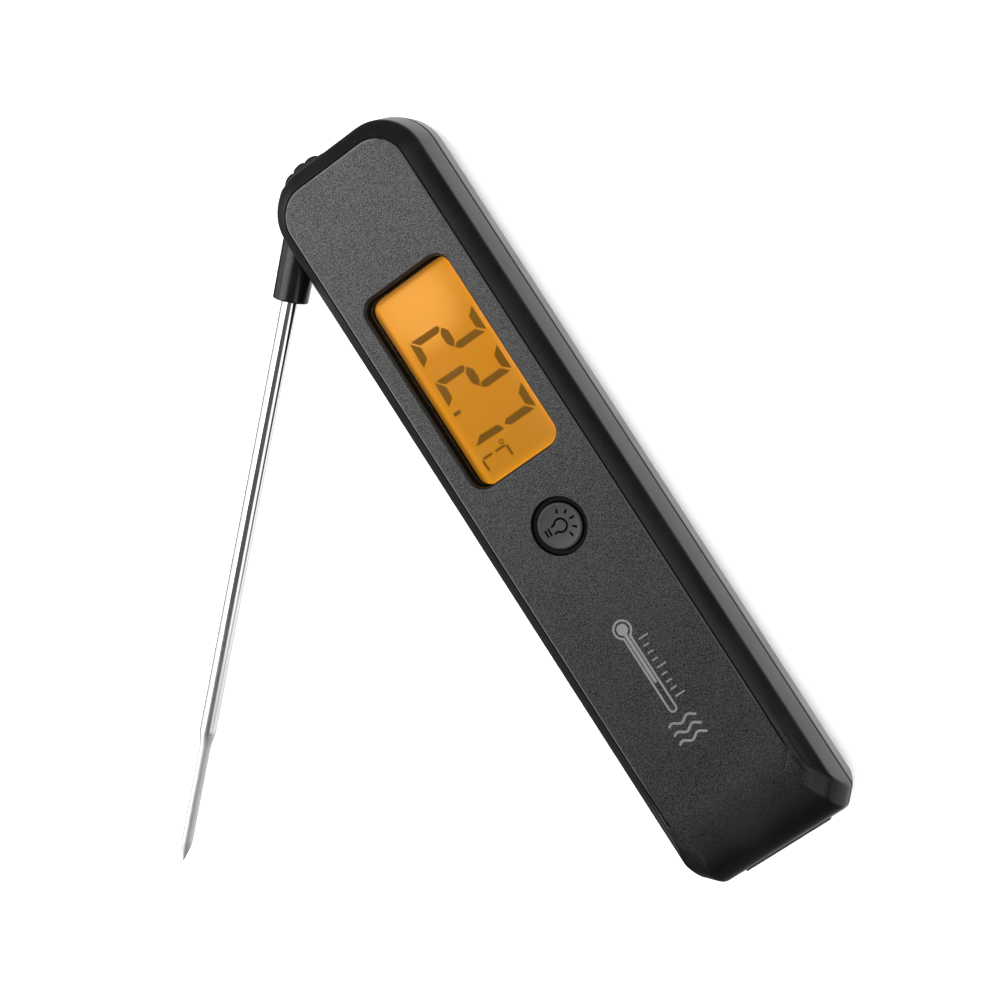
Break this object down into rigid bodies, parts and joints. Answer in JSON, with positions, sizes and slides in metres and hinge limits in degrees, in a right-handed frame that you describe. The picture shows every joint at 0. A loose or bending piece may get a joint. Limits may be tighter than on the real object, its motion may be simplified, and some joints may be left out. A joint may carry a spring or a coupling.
{
  "type": "folding food thermometer",
  "caption": "Bar-shaped digital thermometer with an orange display, a round button and a steel probe that folds out of a slot in its left side.",
  "frame": {"origin": "on the flat back face, under the middle of the case", "axes": "+X to the reader's right, +Y along the case towards the hinge end, +Z out of the front panel"},
  "size_m": [0.1291, 0.1624, 0.02],
  "materials": {
    "case_front": "bead-blasted black",
    "case_rear": "fine satin black",
    "rubber": "matt black",
    "screw": "black zinc",
    "magnet": "nickel plated",
    "window": "clear",
    "lcd": "orange backlit",
    "black_plastic": "matt",
    "light_guide": "clear diffusing",
    "led": "amber",
    "zebra": "layered",
    "board": "solder mask green",
    "chip": "moulded epoxy",
    "plunger": "grey",
    "button": "satin black",
    "cell": "printed jacket, left blank",
    "contact": "nickel plated",
    "wire_red": "insulation",
    "wire_black": "insulation",
    "hub": "satin black",
    "probe": "polished stainless steel",
    "bead": "coated bead",
    "steel": "bright"
  },
  "bodies": {
    "case": {"front_shell": "case_front", "rear_shell": "case_rear", "case_gasket": "rubber", "display_lens": "window", "lcd_frame": "black_plastic", "lcd_glass": "lcd", "backlight_guide": "light_guide", "backlight_led_1": "led", "backlight_led_2": "led", "zebra_strip": "zebra", "main_board": "board", "controller_chip": "chip", "clock_crystal": "steel", "hall_sensor": "chip", "tact_switch": "chip", "button_seal": "rubber", "battery_cell": "cell", "battery_spring": "contact", "spring_plate": "contact", "plus_contact": "contact", "wire_plus": "wire_red", "wire_minus": "wire_black", "body_lead": "wire_black", "board_screw_1": "screw", "board_screw_2": "screw", "case_screw_1": "screw", "case_screw_2": "screw", "case_screw_3": "screw", "case_screw_4": "screw", "back_magnet_1": "magnet", "back_magnet_2": "magnet", "hinge_pin": "steel", "front_washer": "steel", "wave_washer": "steel"},
    "probe": {"probe_hub": "hub", "probe_tube": "probe", "thermistor_bead": "bead", "probe_lead": "wire_black", "hub_magnet": "magnet"},
    "button": {"button_cap": "button"},
    "plunger": {"tact_plunger": "plunger"},
    "door": {"battery_door": "case_rear"}
  },
  "joints": [
    {"name": "probe_fold", "type": "hinge", "parent": "case", "child": "probe", "pos_m": [-0.007, 0.0702, 0.009], "axis": [0, 0, -1], "range_deg": [-47, 133]},
    {"name": "button_press", "type": "slide", "parent": "case", "child": "button", "axis": [0, 0, -1], "range_m": [0, 0.0004], "stiffness_N_per_m": 1500},
    {"name": "plunger_press", "type": "slide", "parent": "case", "child": "plunger", "axis": [0, 0, -1], "range_m": [0, 0.0005]},
    {"name": "door_slide", "type": "slide", "parent": "case", "child": "door", "axis": [0, -1, 0], "range_m": [0, 0.05]}
  ],
  "couplings": [
    {"joint": "plunger_press", "follows": "button_press", "ratio": 1}
  ]
}
